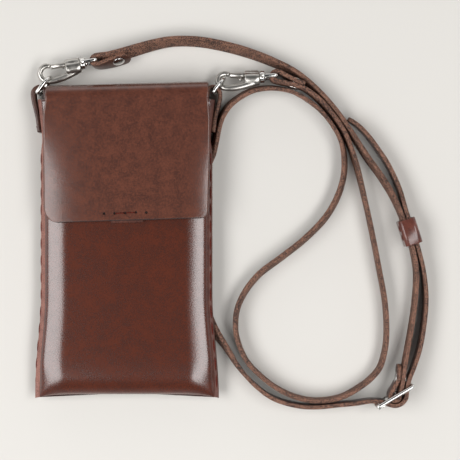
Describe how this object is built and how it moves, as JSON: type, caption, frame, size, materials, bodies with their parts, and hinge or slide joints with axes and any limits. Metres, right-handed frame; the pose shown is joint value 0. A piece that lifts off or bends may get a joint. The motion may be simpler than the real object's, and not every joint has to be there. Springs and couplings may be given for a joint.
{
  "type": "phone pouch",
  "caption": "Flat leather phone pouch with a magnetic flap, side seams, bolt snaps and a buckled shoulder strap coiled beside it",
  "frame": {"origin": "middle of the pouch's back, on the surface it lies on", "axes": "+X to the pouch's right side, +Y to the flap's fold, +Z out of the front"},
  "size_m": [0.2243, 0.2146, 0.0206],
  "materials": {
    "leather": "semi-gloss waxed",
    "strap_leather": "waxed, raw cut edges",
    "thread": "waxed thread",
    "hardware": "polished plate",
    "magnet": "plain",
    "spring_steel": "drawn wire"
  },
  "bodies": {
    "pouch": {"body_shell": "leather", "top_fold": "leather", "front_magnet": "magnet", "front_patch": "leather", "left_seam_thread": "thread", "right_seam_thread": "thread", "left_tab": "strap_leather", "right_tab": "strap_leather", "left_tab_thread": "thread", "right_tab_thread": "thread", "short_strap": "strap_leather", "long_strap": "strap_leather", "left_rivet": "hardware", "right_rivet": "hardware", "buckle_rivet": "hardware", "buckle_frame": "hardware", "left_swivel_eye": "hardware", "right_swivel_eye": "hardware"},
    "flap_body": {"flap": "leather", "flap_patch": "leather", "flap_magnet": "magnet", "flap_stitches": "thread"},
    "left_ring_body": {"left_d_ring": "hardware"},
    "right_ring_body": {"right_d_ring": "hardware"},
    "left_snap_body": {"left_hook": "hardware", "left_gate_spring": "spring_steel"},
    "right_snap_body": {"right_hook": "hardware", "right_gate_spring": "spring_steel"},
    "left_gate_body": {"left_gate": "hardware"},
    "right_gate_body": {"right_gate": "hardware"},
    "keeper_body": {"keeper": "leather", "keeper_thread": "thread"},
    "prong_body": {"buckle_prong": "hardware"}
  },
  "joints": [
    {"name": "flap_hinge", "type": "hinge", "parent": "pouch", "child": "flap_body", "pos_m": [0, 0.0893, 0.013], "axis": [-1, 0, 0], "range_deg": [0, 120], "deforming": ["top_fold"]},
    {"name": "left_ring_turn", "type": "hinge", "parent": "pouch", "child": "left_ring_body", "pos_m": [-0.04898, 0.0836, 0.008], "axis": [0, 0, 1], "range_deg": [-1, 1]},
    {"name": "right_ring_turn", "type": "hinge", "parent": "pouch", "child": "right_ring_body", "pos_m": [0.04898, 0.0836, 0.008], "axis": [0, 0, 1], "range_deg": [-1, 1]},
    {"name": "left_snap_turn", "type": "hinge", "parent": "pouch", "child": "left_snap_body", "pos_m": [-0.02503, 0.10057, 0.008], "axis": [0.9848, 0.1736, 0], "range_deg": [-8, 8]},
    {"name": "right_snap_turn", "type": "hinge", "parent": "pouch", "child": "right_snap_body", "pos_m": [0.07687, 0.093, 0.008], "axis": [0.9998, 0.0174, 0], "range_deg": [-8, 8]},
    {"name": "left_bolt", "type": "slide", "parent": "left_snap_body", "child": "left_gate_body", "axis": [0.9848, 0.1736, 0], "range_m": [0, 0.0034], "stiffness_N_per_m": 120, "deforming": ["left_gate_spring"]},
    {"name": "right_bolt", "type": "slide", "parent": "right_snap_body", "child": "right_gate_body", "axis": [0.9998, 0.0174, 0], "range_m": [0, 0.0034], "stiffness_N_per_m": 120, "deforming": ["right_gate_spring"]},
    {"name": "keeper_slide", "type": "slide", "parent": "pouch", "child": "keeper_body", "axis": [0.309, -0.9511, 0], "range_m": [-0.003, 0.003]},
    {"name": "prong_turn", "type": "hinge", "parent": "pouch", "child": "prong_body", "pos_m": [0.15231, -0.0885, 0.008], "axis": [0, 0, 1], "range_deg": [0, 8]}
  ]
}
